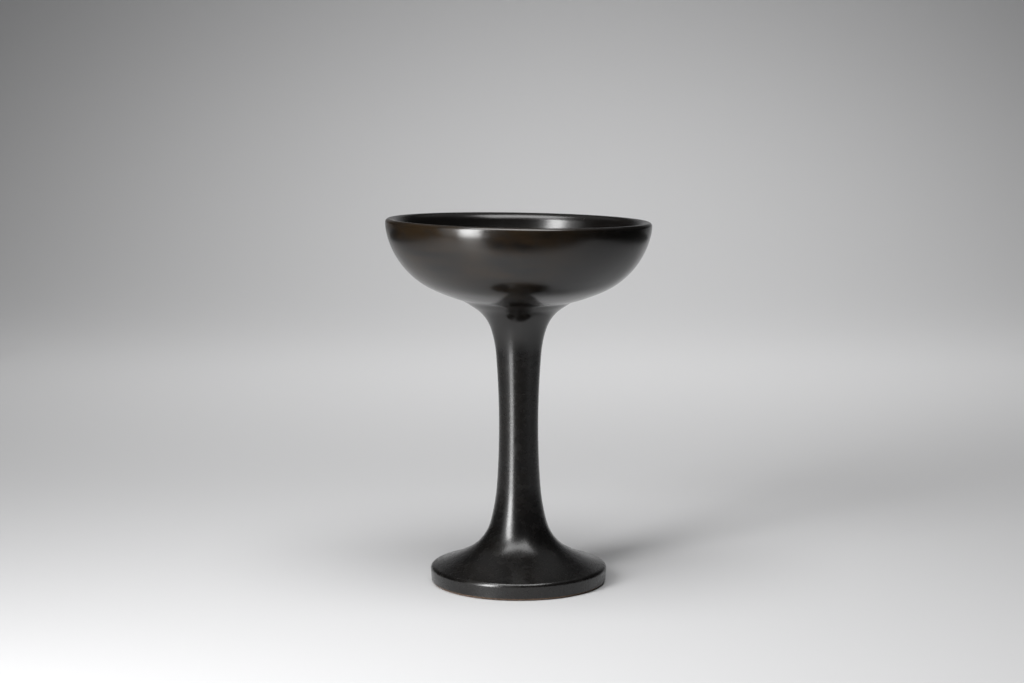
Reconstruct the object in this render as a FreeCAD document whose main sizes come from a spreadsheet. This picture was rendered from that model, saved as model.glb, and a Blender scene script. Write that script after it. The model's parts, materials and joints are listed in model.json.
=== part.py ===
import FreeCAD, Part

import math
import os

import Sketcher

# A stemmed ceramic cup: a wide thrown bowl luted to a hollow thrown stem, and the stem luted to a
# spreading thrown foot with a turned underside. Clay slip fills both joints, a worked-in coil of
# clay rounds the corner under the bowl, and a satin glaze coats the clay down to just above the
# bare standing ring. All lengths are millimetres and all angles are degrees.
# Origin: centre of the standing ring on the surface it stands on. +Z up, the bowl leans towards +X.

SIZES = [
    # Whole cup
    ("cup_height", 170.0, "standing surface to the glazed crest at the rim's centre"),
    ("glaze_thickness", 0.4, "fired glaze coat, square to the clay"),
    ("slip_thickness", 0.5, "luting slip left in each joint"),
    # Bowl
    ("rim_radius", 61.27, "widest radius of the clay bowl, just under the lip"),
    ("lip_outer_round", 1.35, "rounding from the widest point up to the crest"),
    ("shoulder_round", 18.9, "outline radius just under the lip"),
    ("shoulder_angle", 11.7, "lean of the wall where the shoulder ends"),
    ("side_round", 37.26, "outline radius of the bowl's side"),
    ("bowl_angle", 65.4, "lean of the wall where the side runs into the base cap"),
    ("bowl_wall", 5.0, "clay wall of the bowl at lip and side"),
    ("bowl_floor", 6.5, "clay thickness on the axis"),
    ("bowl_lean", 0.95, "the rim's tilt, lower on the +X side"),
    ("seat_depth", 2.5, "level seat cut up into the underside for the stem"),
    ("seat_clearance", 0.15, "radial play of the stem's top end in its seat"),
    # Coil of clay under the bowl
    ("coil_height", 9.9, "from the coil's lower edge to the underside of the bowl"),
    ("coil_round", 19.2, "hollow outline radius of the coil"),
    ("coil_angle", 57.0, "outward lean where the coil runs up under the bowl"),
    ("coil_edge", 0.6, "thickness of the coil's lower edge, set into the stem"),
    ("coil_overlap", 8.0, "how far the coil's blank rises past the underside before trimming"),
    # Stem
    ("waist_radius", 8.85, "thinnest radius of the clay stem"),
    ("waist_height", 74.0, "height of the thinnest place"),
    ("throat_angle", 4.7, "outward lean at the top of the long upper taper"),
    ("neck_round", 48.85, "outline radius of the neck under the coil"),
    ("neck_angle", 18.4, "outward lean where the coil begins"),
    ("shin_angle", 4.0, "outward lean at the foot of the long lower taper"),
    ("ankle_angle", 15.0, "outward lean at the joint of stem and foot"),
    ("ankle_share", 4.13, "ankle outline radius as a share of the instep's"),
    ("stem_wall", 4.2, "clay wall of the hollow stem"),
    # Foot
    ("foot_radius", 41.03, "widest radius of the clay foot"),
    ("foot_edge_height", 6.2, "height at which the foot is widest"),
    ("foot_edge_round", 1.6, "rounding of the foot's upper edge"),
    ("foot_corner_round", 1.0, "rounding of both lower corners of the standing ring"),
    ("instep_angle", 61.0, "outward lean where the instep runs into the dish"),
    ("dish_angle", 12.8, "how much further the dish leans before it runs into the edge"),
    ("dish_share", 3.57, "dish outline radius as a share of the instep's"),
    ("side_taper", 5.3, "inward lean of the foot's side"),
    ("foot_wall", 5.8, "clay thickness of the spreading foot"),
    ("ring_width", 7.53, "from the widest radius in to the inner side of the standing ring"),
    ("glaze_line_height", 1.1, "height of the glaze's lower edge, wiped clear of the ring"),
    # Cutting allowance
    ("overrun", 3.0, "how far a cutting solid runs past what it cuts"),
]

# Sizes that follow from the ones above, in the order in which they build on each other.
DERIVED = [
    # Bowl, outside
    ("clay_crest", "Sizes.cup_height - Sizes.glaze_thickness"),
    ("widest_height", "Outline.clay_crest - Sizes.lip_outer_round"),
    ("crest_radius", "Sizes.rim_radius - Sizes.lip_outer_round"),
    ("side_centre_radius",
     "Sizes.rim_radius - Sizes.shoulder_round"
     " - (Sizes.side_round - Sizes.shoulder_round) * cos(Sizes.shoulder_angle)"),
    ("side_centre_height",
     "Outline.widest_height"
     " + (Sizes.side_round - Sizes.shoulder_round) * sin(Sizes.shoulder_angle)"),
    ("cap_round", "Sizes.side_round + Outline.side_centre_radius / cos(Sizes.bowl_angle)"),
    ("underside_height",
     "Outline.side_centre_height + Outline.side_centre_radius * tan(Sizes.bowl_angle)"
     " - Outline.cap_round"),
    # Bowl, inside: the wall keeps its thickness, then a flatter cap gives the floor its own
    ("inner_shoulder_round", "Sizes.shoulder_round - Sizes.bowl_wall"),
    ("inner_side_round", "Sizes.side_round - Sizes.bowl_wall"),
    ("lip_inner_round",
     "((Sizes.shoulder_round - Sizes.lip_outer_round)^2 + Sizes.lip_outer_round^2"
     " - Outline.inner_shoulder_round^2)"
     " / (2 * (Outline.inner_shoulder_round + Sizes.lip_outer_round))"),
    ("lip_drop_angle",
     "asin((Outline.lip_inner_round - Sizes.lip_outer_round)"
     " / (Outline.inner_shoulder_round + Outline.lip_inner_round)) / 1 deg"),
    ("floor_height", "Outline.underside_height + Sizes.bowl_floor"),
    ("floor_drop", "Outline.floor_height - Outline.side_centre_height"),
    ("inner_cap_round",
     "(Outline.inner_side_round^2 - Outline.side_centre_radius^2 - Outline.floor_drop^2)"
     " / (2 * (Outline.floor_drop + Outline.inner_side_round))"),
    ("inner_bowl_angle",
     "90 - atan(Outline.side_centre_radius"
     " / (Outline.floor_drop + Outline.inner_cap_round)) / 1 deg"),
    # Seat, stem top and coil
    ("seat_height", "Outline.underside_height + Sizes.seat_depth"),
    ("stem_top", "Outline.seat_height - Sizes.slip_thickness"),
    ("coil_start_height", "Outline.underside_height - Sizes.coil_height"),
    ("coil_top", "Outline.underside_height + Sizes.coil_overlap"),
    ("neck_start_height",
     "Outline.coil_start_height"
     " - Sizes.neck_round * (sin(Sizes.neck_angle) - sin(Sizes.throat_angle))"),
    ("throat_round",
     "(Outline.neck_start_height - Sizes.waist_height) / sin(Sizes.throat_angle)"),
    ("coil_start_radius",
     "Sizes.waist_radius + Outline.throat_round * (1 - cos(Sizes.throat_angle))"
     " + Sizes.neck_round * (cos(Sizes.throat_angle) - cos(Sizes.neck_angle))"),
    ("tenon_radius", "Outline.coil_start_radius - Sizes.coil_edge"),
    ("bore_waist_radius", "Sizes.waist_radius - Sizes.stem_wall"),
    ("bore_throat_round", "Outline.throat_round + Sizes.stem_wall"),
    ("bore_top_radius",
     "Outline.bore_waist_radius + Outline.bore_throat_round * (1 - cos(Sizes.throat_angle))"
     " + (Outline.stem_top - Sizes.waist_height"
     " - Outline.bore_throat_round * sin(Sizes.throat_angle)) * tan(Sizes.throat_angle)"),
    # Flare from the waist to the foot's edge: its three lower arcs share one scale
    ("brim_angle", "Sizes.instep_angle + Sizes.dish_angle"),
    ("brim_radius", "Sizes.foot_radius - Sizes.foot_edge_round * (1 - cos(Outline.brim_angle))"),
    ("brim_height", "Sizes.foot_edge_height + Sizes.foot_edge_round * sin(Outline.brim_angle)"),
    ("foot_width_share",
     "cos(Sizes.ankle_angle) - cos(Sizes.instep_angle)"
     " + Sizes.dish_share * (cos(Sizes.instep_angle) - cos(Outline.brim_angle))"),
    ("foot_height_share",
     "sin(Sizes.instep_angle) - sin(Sizes.ankle_angle)"
     " + Sizes.dish_share * (sin(Outline.brim_angle) - sin(Sizes.instep_angle))"),
    ("flare_width_share",
     "Outline.foot_width_share"
     " + Sizes.ankle_share * (cos(Sizes.shin_angle) - cos(Sizes.ankle_angle))"),
    ("flare_height_share",
     "Outline.foot_height_share"
     " + Sizes.ankle_share * (sin(Sizes.ankle_angle) - sin(Sizes.shin_angle))"),
    ("shin_slope_share", "tan(Sizes.shin_angle / 2)"),
    ("flare_drop", "Sizes.waist_height - Outline.brim_height - Sizes.slip_thickness"),
    ("instep_round",
     "(Outline.brim_radius - Sizes.waist_radius"
     " - Sizes.slip_thickness * tan(Sizes.ankle_angle)"
     " - Outline.shin_slope_share * Outline.flare_drop)"
     " / (Outline.flare_width_share"
     " - Outline.shin_slope_share * Outline.flare_height_share)"),
    ("ankle_round", "Outline.instep_round * Sizes.ankle_share"),
    ("dish_round", "Outline.instep_round * Sizes.dish_share"),
    ("shin_round",
     "(Outline.flare_drop - Outline.instep_round * Outline.flare_height_share)"
     " / sin(Sizes.shin_angle)"),
    # Joint of stem and foot
    ("foot_top_height", "Outline.brim_height + Outline.instep_round * Outline.foot_height_share"),
    ("foot_top_radius", "Outline.brim_radius - Outline.instep_round * Outline.foot_width_share"),
    ("joint_height", "Outline.foot_top_height + Sizes.slip_thickness"),
    ("joint_radius",
     "Outline.foot_top_radius - Sizes.slip_thickness * tan(Sizes.ankle_angle)"),
    ("instep_centre_radius",
     "Outline.foot_top_radius + Outline.instep_round * cos(Sizes.ankle_angle)"),
    ("instep_centre_height",
     "Outline.foot_top_height + Outline.instep_round * sin(Sizes.ankle_angle)"),
    ("foot_bore_radius",
     "Outline.foot_top_radius - Sizes.foot_wall * cos(Sizes.ankle_angle)"),
    ("foot_mouth_height",
     "Outline.foot_top_height - Sizes.foot_wall * sin(Sizes.ankle_angle)"),
    ("ring_inner_radius", "Sizes.foot_radius - Sizes.ring_width"),
    ("well_start_radius",
     "Outline.foot_bore_radius - Sizes.glaze_thickness * cos(Sizes.ankle_angle)"),
    ("well_start_height",
     "Outline.foot_mouth_height - Sizes.glaze_thickness * sin(Sizes.ankle_angle)"),
]

# The bowl's sections and the pedestal's stand in different planes, so that the seams of the turned
# faces never lie along each other where the two forms are joined or cut
BOWL_PLANE = "YZ_Plane"
PEDESTAL_PLANE = "XZ_Plane"

# Ways an outline can turn
LEFT, RIGHT = 1, -1

# A sketch counts its own axes backwards from minus one
OWN_AXES = ("level", "upright")
LEVEL_AXIS = -1 - OWN_AXES.index("level")
UPRIGHT_AXIS = -1 - OWN_AXES.index("upright")

# The points of an edge, in the order in which a sketch numbers them
EDGE_POINTS = ("edge", "start", "end", "centre")
START = EDGE_POINTS.index("start")
END = EDGE_POINTS.index("end")
CENTRE = EDGE_POINTS.index("centre")
ORIGIN_POINT = (LEVEL_AXIS, START)

doc = FreeCAD.newDocument("StemmedCup")

sheet = doc.addObject("Spreadsheet::Sheet", "Sizes")
for row, (alias, value, note) in enumerate(SIZES, start=1):
    sheet.set("A%d" % row, alias)
    sheet.set("B%d" % row, "%g" % value)
    sheet.set("C%d" % row, note)
    sheet.setAlias("B%d" % row, alias)
doc.recompute()

outline_sizes = doc.addObject("App::VarSet", "Outline")
for name, formula in DERIVED:
    outline_sizes.addProperty("App::PropertyFloat", name, "Outline", "follows from the sheet")
    outline_sizes.setExpression(name, formula)
doc.recompute()


def number(formula):
    """The present value of a formula of named sizes."""
    return float(sheet.evalExpression(formula))


def unit(angle):
    """Unit vector at an angle in degrees, counted from +X towards +Z of the section."""
    return FreeCAD.Vector(math.cos(math.radians(angle)), math.sin(math.radians(angle)), 0)


class Pen:
    """A corner of an outline: the edge it ends, the place, and the way the outline runs there."""

    def __init__(self, corner, point, heading):
        self.corner = corner
        self.point = point
        self.heading = heading


class HalfSection:
    """Half section in an upright plane of the body, drawn edge by edge. Sketch x is the radius."""

    def __init__(self, body, name, upright):
        plane = [f for f in body.Origin.OriginFeatures if f.Role == upright][0]
        self.sketch = body.newObject("Sketcher::SketchObject", name)
        self.sketch.AttachmentSupport = [(plane, "")]
        self.sketch.MapMode = "FlatFace"
        self.pen = None
        self.place = None
        self.begun = None

    def bind(self, formula, kind, *where):
        """Adds a dimension whose value is a formula of named sizes."""
        value = number(formula)
        if kind == "Angle":
            value = math.radians(value)
        index = self.sketch.addConstraint(Sketcher.Constraint(kind, *where, value))
        name = "%s_%d" % (kind.lower(), index)
        self.sketch.renameConstraint(index, name)
        self.sketch.setExpression("Constraints." + name, formula)

    def fix(self, corner, x=None, y=None):
        """Holds a corner at a radius, a height or both."""
        if x == "0":
            self.sketch.addConstraint(Sketcher.Constraint("PointOnObject", *corner, UPRIGHT_AXIS))
        elif x:
            self.bind(x, "DistanceX", *ORIGIN_POINT, *corner)
        if y == "0":
            self.sketch.addConstraint(Sketcher.Constraint("PointOnObject", *corner, LEVEL_AXIS))
        elif y:
            self.bind(y, "DistanceY", *ORIGIN_POINT, *corner)

    def start(self, x, y, heading):
        """Begins a run of edges at a place; the heading is the way the first edge leaves it."""
        self.place = (x, y)
        point = FreeCAD.Vector(number(x), number(y), 0)
        self.pen = Pen(None, point, number(heading))

    def turn_back(self):
        """Goes back to where the last run began, to lead a second run the other way."""
        self.pen = Pen(self.begun.corner, self.begun.point, self.begun.heading + 180)

    def attach(self, first, tangent):
        """Ties an edge's first corner to the run, or to its named place if it begins the run."""
        if self.pen.corner is None:
            self.fix(first, *self.place)
            self.begun = Pen(first, self.pen.point, self.pen.heading)
        elif tangent:
            self.sketch.addConstraint(Sketcher.Constraint("Tangent", *self.pen.corner, *first))
        else:
            self.sketch.addConstraint(Sketcher.Constraint("Coincident", *self.pen.corner, *first))

    def add_line(self, end, tangent):
        """Adds a straight edge to a point and returns its index."""
        index = self.sketch.addGeometry(Part.LineSegment(self.pen.point, end))
        self.attach((index, START), tangent)
        run = end - self.pen.point
        self.pen = Pen((index, END), end, math.degrees(math.atan2(run.y, run.x)))
        return index

    def line(self, x=None, y=None):
        """Straight edge: level to a radius, upright to a height, or slanting to both."""
        end = FreeCAD.Vector(self.pen.point)
        if x:
            end.x = number(x)
        if y:
            end.y = number(y)
        index = self.add_line(end, False)
        if y is None:
            self.sketch.addConstraint(Sketcher.Constraint("Horizontal", index))
        if x is None:
            self.sketch.addConstraint(Sketcher.Constraint("Vertical", index))
        self.fix(self.pen.corner, x, y)

    def onward(self, y=None, length=None, free_y=None):
        """Straight edge that carries on the way the last edge ran: to a height, or for a length.

        A free height only gives the edge its first reach, where later edges settle the height.
        """
        way = unit(self.pen.heading)
        if length:
            reach = number(length)
        else:
            reach = (number(y or free_y) - self.pen.point.y) / way.y
        index = self.add_line(self.pen.point + way * reach, True)
        if length:
            self.bind(length, "Distance", index)
        if y:
            self.fix(self.pen.corner, None, y)

    def add_arc(self, centre, span, turn, tangent):
        """Adds a round edge about a centre and returns its index and first corner."""
        radius = (self.pen.point - centre).Length
        out = self.pen.point - centre
        begin = math.atan2(out.y, out.x)
        end = begin + turn * math.radians(span)
        circle = Part.Circle(centre, FreeCAD.Vector(0, 0, 1), radius)
        if turn == LEFT:
            index = self.sketch.addGeometry(Part.ArcOfCircle(circle, begin, end))
            first, last = (index, START), (index, END)
        else:
            index = self.sketch.addGeometry(Part.ArcOfCircle(circle, end, begin))
            first, last = (index, END), (index, START)
        self.attach(first, tangent)
        point = centre + unit(math.degrees(end)) * radius
        self.pen = Pen(last, point, self.pen.heading + turn * span)
        return index, first

    def arc(self, radius, span, turn):
        """Round edge of a named radius and span that carries on the way the run goes."""
        begins = self.pen.corner is None
        heading = self.pen.heading
        centre = self.pen.point + unit(heading + turn * 90) * number(radius)
        index, first = self.add_arc(centre, number(span), turn, True)
        if begins and abs(math.cos(math.radians(heading))) > abs(math.sin(math.radians(heading))):
            self.sketch.addConstraint(Sketcher.Constraint("Vertical", index, CENTRE, *first))
        elif begins:
            self.sketch.addConstraint(Sketcher.Constraint("Horizontal", index, CENTRE, *first))
        self.bind(radius, "Radius", index)
        self.bind(span, "Angle", index)

    def arc_about(self, x, y, span, turn):
        """Round edge of a named span about a named centre."""
        centre = FreeCAD.Vector(number(x), number(y), 0)
        index = self.add_arc(centre, number(span), turn, False)[0]
        self.fix((index, CENTRE), x, y)
        self.bind(span, "Angle", index)

    def arc_to_axis(self, turn):
        """Round edge, square to the axis, that carries on the way the run goes and ends there."""
        normal = unit(self.pen.heading + turn * 90)
        centre = self.pen.point - normal * (self.pen.point.x / normal.x)
        span = (180 - self.pen.heading % 360) * turn
        index = self.add_arc(centre, span, turn, True)[0]
        self.sketch.addConstraint(
            Sketcher.Constraint("PointOnObject", index, CENTRE, UPRIGHT_AXIS))
        self.fix(self.pen.corner, "0", None)

    def arc_to_radius(self, radius, x, turn):
        """Round edge of a named radius that carries on the way the run goes as far as a radius."""
        centre = self.pen.point + unit(self.pen.heading + turn * 90) * number(radius)
        out = self.pen.point - centre
        across = number(x) - centre.x
        below = -math.sqrt(number(radius) ** 2 - across ** 2)
        span = math.degrees(math.atan2(below, across) - math.atan2(out.y, out.x)) * turn
        index = self.add_arc(centre, span % 360, turn, True)[0]
        self.bind(radius, "Radius", index)
        self.fix(self.pen.corner, x, None)

    def join(self, other):
        """Closes the gap from here to another run's end with a straight edge."""
        index = self.add_line(other.point, False)
        self.sketch.addConstraint(
            Sketcher.Constraint("Coincident", index, END, *other.corner))

    def turn_solid(self, body):
        """Turns the closed half section once round the axis."""
        turned = body.newObject("PartDesign::Revolution", self.sketch.Name + "Turned")
        turned.Profile = self.sketch
        turned.ReferenceAxis = (self.sketch, ["V_Axis"])
        turned.Angle = 360
        self.sketch.Visibility = False


def plus(formula, extra):
    """A formula made larger or smaller by an extra term."""
    return "(%s)%s" % (formula, extra)


def new_body(name):
    """An empty body with its own origin planes."""
    return doc.addObject("PartDesign::Body", name)


def lean_with_bowl(item):
    """Leans a body about the centre of the rim, lower on the +X side."""
    item.Placement = FreeCAD.Placement(
        FreeCAD.Vector(0, 0, 0), FreeCAD.Rotation(FreeCAD.Vector(0, 1, 0), number("Sizes.bowl_lean")))
    item.setExpression("Placement.Rotation.Angle", "Sizes.bowl_lean")
    item.setExpression("Placement.Base.x", "-Sizes.cup_height * sin(Sizes.bowl_lean)")
    item.setExpression("Placement.Base.z", "Sizes.cup_height * (1 - cos(Sizes.bowl_lean))")


def cylinder(name, radius, height, base):
    """An upright cylinder on the stem's axis."""
    item = doc.addObject("Part::Cylinder", name)
    item.setExpression("Radius", radius)
    item.setExpression("Height", height)
    item.setExpression("Placement.Base.z", base)
    return item


def cut(name, base, tool):
    """One solid less another."""
    item = doc.addObject("Part::Cut", name)
    item.Base = base
    item.Tool = tool
    return item


def bowl_outside(outline, extra):
    """Outer run of the bowl, from its widest point down to the axis."""
    outline.arc(plus("Sizes.shoulder_round", extra), "Sizes.shoulder_angle", RIGHT)
    outline.arc(plus("Sizes.side_round", extra), "Sizes.bowl_angle - Sizes.shoulder_angle", RIGHT)
    outline.arc_to_axis(RIGHT)


def bowl_inside(outline, grow, shrink):
    """Inner run of the bowl, from the crest down to the axis."""
    outline.arc(plus("Outline.lip_inner_round", grow), "90 - Outline.lip_drop_angle", LEFT)
    outline.arc(plus("Outline.inner_shoulder_round", shrink),
                "Sizes.shoulder_angle - Outline.lip_drop_angle", RIGHT)
    outline.arc(plus("Outline.inner_side_round", shrink),
                "Outline.inner_bowl_angle - Sizes.shoulder_angle", RIGHT)
    outline.arc_to_axis(RIGHT)


def stem_upwards(outline, less):
    """Outer run of the stem from the waist up to where the coil begins."""
    outline.arc(plus("Outline.throat_round", less), "Sizes.throat_angle", RIGHT)
    outline.arc(plus("Sizes.neck_round", less), "Sizes.neck_angle - Sizes.throat_angle", RIGHT)


def stem_downwards(outline, less):
    """Outer run of the stem from the waist down to the foot's joint."""
    outline.arc(plus("Outline.shin_round", less), "Sizes.shin_angle", LEFT)
    outline.arc(plus("Outline.ankle_round", less), "Sizes.ankle_angle - Sizes.shin_angle", LEFT)


def foot_underside(outline, more):
    """Run of the foot's underside from the bore's mouth out to the standing ring."""
    outline.arc_about("Outline.instep_centre_radius", "Outline.instep_centre_height",
                      "Sizes.instep_angle - Sizes.ankle_angle", LEFT)
    outline.arc_to_radius("Outline.dish_round + Sizes.foot_wall" + more,
                          "Outline.ring_inner_radius", LEFT)


def foot_edge(outline, less, more):
    """Outer run of the foot from the end of the instep to its side."""
    outline.arc(plus("Outline.dish_round", less), "Sizes.dish_angle", LEFT)
    outline.arc(plus("Sizes.foot_edge_round", more), "Outline.brim_angle + Sizes.side_taper", RIGHT)


def pedestal_blank(name, less, more, base):
    """Stem, coil and foot as one filled outline, taken in or let out by a coat of glaze."""
    body = new_body(name)
    outline = HalfSection(body, name + "Section", PEDESTAL_PLANE)
    outline.start(plus("Sizes.waist_radius", more), "Sizes.waist_height", "90")
    stem_upwards(outline, less)
    outline.arc(plus("Sizes.coil_round", less), "Sizes.coil_angle - Sizes.neck_angle", RIGHT)
    outline.onward(y="Outline.coil_top")
    outline.line(x="0")
    top = outline.pen
    outline.turn_back()
    stem_downwards(outline, less)
    outline.onward(length="Sizes.slip_thickness / cos(Sizes.ankle_angle)")
    outline.arc(plus("Outline.instep_round", less), "Sizes.instep_angle - Sizes.ankle_angle", LEFT)
    foot_edge(outline, less, more)
    outline.onward(y=base)
    outline.line(x="0")
    outline.join(top)
    outline.turn_solid(body)
    return body


# Bowl: thrown wall with a rounded lip, leaned about the rim's centre, then the level seat
bowl_body = new_body("BowlThrown")
section = HalfSection(bowl_body, "BowlSection", BOWL_PLANE)
section.start("Sizes.rim_radius", "Outline.widest_height", "90")
section.arc("Sizes.lip_outer_round", "90", LEFT)
bowl_inside(section, "", "")
inside_end = section.pen
section.turn_back()
bowl_outside(section, "")
section.join(inside_end)
section.turn_solid(bowl_body)
lean_with_bowl(bowl_body)

seat = cylinder("SeatCutter", "Outline.tenon_radius + Sizes.seat_clearance",
                "Sizes.seat_depth + Sizes.overrun", "Outline.underside_height - Sizes.overrun")
bowl = cut("BowlSeated", bowl_body, seat)

# Bowl as a filled form: it trims what meets it from below and leaves room for its coat of glaze
bowl_blank = new_body("BowlFilled")
section = HalfSection(bowl_blank, "BowlFilledSection", BOWL_PLANE)
section.start("Sizes.rim_radius", "Outline.widest_height", "90")
section.arc("Sizes.lip_outer_round", "90", LEFT)
section.line(y="Sizes.cup_height + Sizes.overrun")
section.line(x="0")
top_end = section.pen
section.turn_back()
bowl_outside(section, "")
section.join(top_end)
section.turn_solid(bowl_blank)
lean_with_bowl(bowl_blank)

# Stem: hollow, with a top end set back by the coil's edge and a bore that keeps the wall
stem = new_body("StemThrown")
section = HalfSection(stem, "StemSection", PEDESTAL_PLANE)
section.start("Sizes.waist_radius", "Sizes.waist_height", "90")
stem_upwards(section, "")
section.line(x="Outline.tenon_radius")
section.line(y="Outline.stem_top")
tenon_end = section.pen
section.turn_back()
stem_downwards(section, "")
joint_end = section.pen
section.start("Outline.bore_waist_radius", "Sizes.waist_height", "90")
section.arc("Outline.bore_throat_round", "Sizes.throat_angle", RIGHT)
section.onward(y="Outline.stem_top")
section.join(tenon_end)
section.turn_back()
section.arc("Outline.shin_round + Sizes.stem_wall", "Sizes.shin_angle", LEFT)
section.line(x="Outline.foot_bore_radius", y="Outline.joint_height")
section.join(joint_end)
section.turn_solid(stem)

# Foot: spreading form with a bore on top, a turned hollow below and a rounded standing ring
foot = new_body("FootThrown")
section = HalfSection(foot, "FootSection", PEDESTAL_PLANE)
section.start("Outline.foot_top_radius", "Outline.foot_top_height", "270 + Sizes.ankle_angle")
section.arc_about("Outline.instep_centre_radius", "Outline.instep_centre_height",
                  "Sizes.instep_angle - Sizes.ankle_angle", LEFT)
foot_top_end = section.begun
foot_edge(section, "", "")
section.onward(free_y="Sizes.foot_corner_round * (1 - sin(Sizes.side_taper))")
section.arc("Sizes.foot_corner_round", "90 - Sizes.side_taper", RIGHT)
section.fix(section.pen.corner, None, "0")
section.line(x="Outline.ring_inner_radius + Sizes.foot_corner_round")
section.arc("Sizes.foot_corner_round", "90", RIGHT)
ring_end = section.pen
section.start("Outline.foot_bore_radius", "Outline.foot_mouth_height", "270 + Sizes.ankle_angle")
foot_underside(section, "")
section.join(ring_end)
section.turn_back()
section.line(y="Outline.foot_top_height")
section.join(foot_top_end)
section.turn_solid(foot)

# Slip in the joint under the bowl: a flat ring between the stem's top end and the seat
slip_ring = cylinder("SlipRing", "Outline.tenon_radius", "Sizes.slip_thickness",
                     "Outline.stem_top")
slip_hole = cylinder("SlipRingHole", "Outline.bore_top_radius",
                     "Sizes.slip_thickness + 2 * Sizes.overrun",
                     "Outline.stem_top - Sizes.overrun")
bowl_joint_slip = cut("BowlJointSlip", slip_ring, slip_hole)

# Slip in the joint of stem and foot: its edge carries on the outline of both
slip_cone = doc.addObject("Part::Cone", "SlipCone")
slip_cone.setExpression("Radius1", "Outline.foot_top_radius")
slip_cone.setExpression("Radius2", "Outline.joint_radius")
slip_cone.setExpression("Height", "Sizes.slip_thickness")
slip_cone.setExpression("Placement.Base.z", "Outline.foot_top_height")
slip_bore = cylinder("SlipConeHole", "Outline.foot_bore_radius",
                     "Sizes.slip_thickness + 2 * Sizes.overrun",
                     "Outline.foot_top_height - Sizes.overrun")
foot_joint_slip = cut("FootJointSlip", slip_cone, slip_bore)

# Coil: worked into the corner between stem and bowl, trimmed by the bowl's leaning underside
coil_body = new_body("CoilRolled")
section = HalfSection(coil_body, "CoilSection", PEDESTAL_PLANE)
section.start("Outline.coil_start_radius", "Outline.coil_start_height", "90 - Sizes.neck_angle")
section.arc_about("Outline.coil_start_radius + Sizes.coil_round * cos(Sizes.neck_angle)",
                  "Outline.coil_start_height - Sizes.coil_round * sin(Sizes.neck_angle)",
                  "Sizes.coil_angle - Sizes.neck_angle", RIGHT)
section.onward(y="Outline.coil_top")
section.line(x="Outline.tenon_radius")
coil_end = section.pen
section.turn_back()
section.line(x="Outline.tenon_radius")
section.join(coil_end)
section.turn_solid(coil_body)
coil = cut("CoilTrimmed", coil_body, bowl_blank)

# Glaze inside: from the crest down over the inner lip and across the bowl's floor
lining = new_body("LiningPoured")
section = HalfSection(lining, "LiningSection", BOWL_PLANE)
section.start("Outline.crest_radius", "Outline.clay_crest", "180")
bowl_inside(section, "", "")
clay_begun, clay_end = section.begun, section.pen
section.start("Outline.crest_radius", "Sizes.cup_height", "180")
bowl_inside(section, " + Sizes.glaze_thickness", " - Sizes.glaze_thickness")
section.join(clay_end)
section.turn_back()
section.join(clay_begun)
section.turn_solid(lining)
lean_with_bowl(lining)

# Glaze outside: the coated forms of bowl and pedestal together, less the clay inside them
bowl_coated = new_body("BowlCoated")
section = HalfSection(bowl_coated, "BowlCoatedSection", BOWL_PLANE)
section.start("Sizes.rim_radius + Sizes.glaze_thickness", "Outline.widest_height", "90")
section.arc("Sizes.lip_outer_round + Sizes.glaze_thickness", "90", LEFT)
section.line(x="0")
coat_top = section.pen
section.turn_back()
bowl_outside(section, " + Sizes.glaze_thickness")
section.join(coat_top)
section.turn_solid(bowl_coated)
lean_with_bowl(bowl_coated)

pedestal_coated = pedestal_blank("PedestalCoated", " - Sizes.glaze_thickness",
                                 " + Sizes.glaze_thickness", "Sizes.glaze_line_height")
pedestal_clay = pedestal_blank("PedestalFilled", "", "", "0")
coated = doc.addObject("Part::Fuse", "Coated")
coated.Base = bowl_coated
coated.Tool = pedestal_coated
coat_off_bowl = cut("CoatOffBowl", coated, bowl_blank)
outer_glaze = cut("OuterCoat", coat_off_bowl, pedestal_clay)

# Glaze under the foot: from the mouth of the bore out to the standing ring
well = new_body("WellBrushed")
section = HalfSection(well, "WellSection", PEDESTAL_PLANE)
section.start("Outline.foot_bore_radius", "Outline.foot_mouth_height", "270 + Sizes.ankle_angle")
foot_underside(section, "")
well_begun, well_end = section.begun, section.pen
section.start("Outline.well_start_radius", "Outline.well_start_height",
              "270 + Sizes.ankle_angle")
foot_underside(section, " + Sizes.glaze_thickness")
section.join(well_end)
section.turn_back()
section.join(well_begun)
section.turn_solid(well)

doc.recompute()

PIECES = [
    (bowl, "bowl"),
    (stem, "stem"),
    (foot, "foot"),
    (bowl_joint_slip, "bowl_joint_slip"),
    (foot_joint_slip, "foot_joint_slip"),
    (coil, "bowl_joint_coil"),
    (lining, "lining_glaze"),
    (outer_glaze, "outer_glaze"),
    (well, "foot_well_glaze"),
]

for item in doc.Objects:
    if "Invalid" in item.State or "Error" in item.State:
        raise RuntimeError("%s did not recompute: %s" % (item.Name, item.State))

for piece, label in PIECES:
    piece.Label = label
    shape = piece.Shape
    if shape.isNull() or not shape.isValid():
        raise RuntimeError("%s has no valid shape" % label)
    if len(shape.Solids) != 1:
        raise RuntimeError("%s has %d solids, not one" % (label, len(shape.Solids)))

os.makedirs("parts", exist_ok=True)
for piece, label in PIECES:
    piece.Shape.exportStep(os.path.join("parts", label + ".step"))
    print("%-16s %9.1f mm3" % (label, piece.Shape.Volume))
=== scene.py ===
import json
import math

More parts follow.
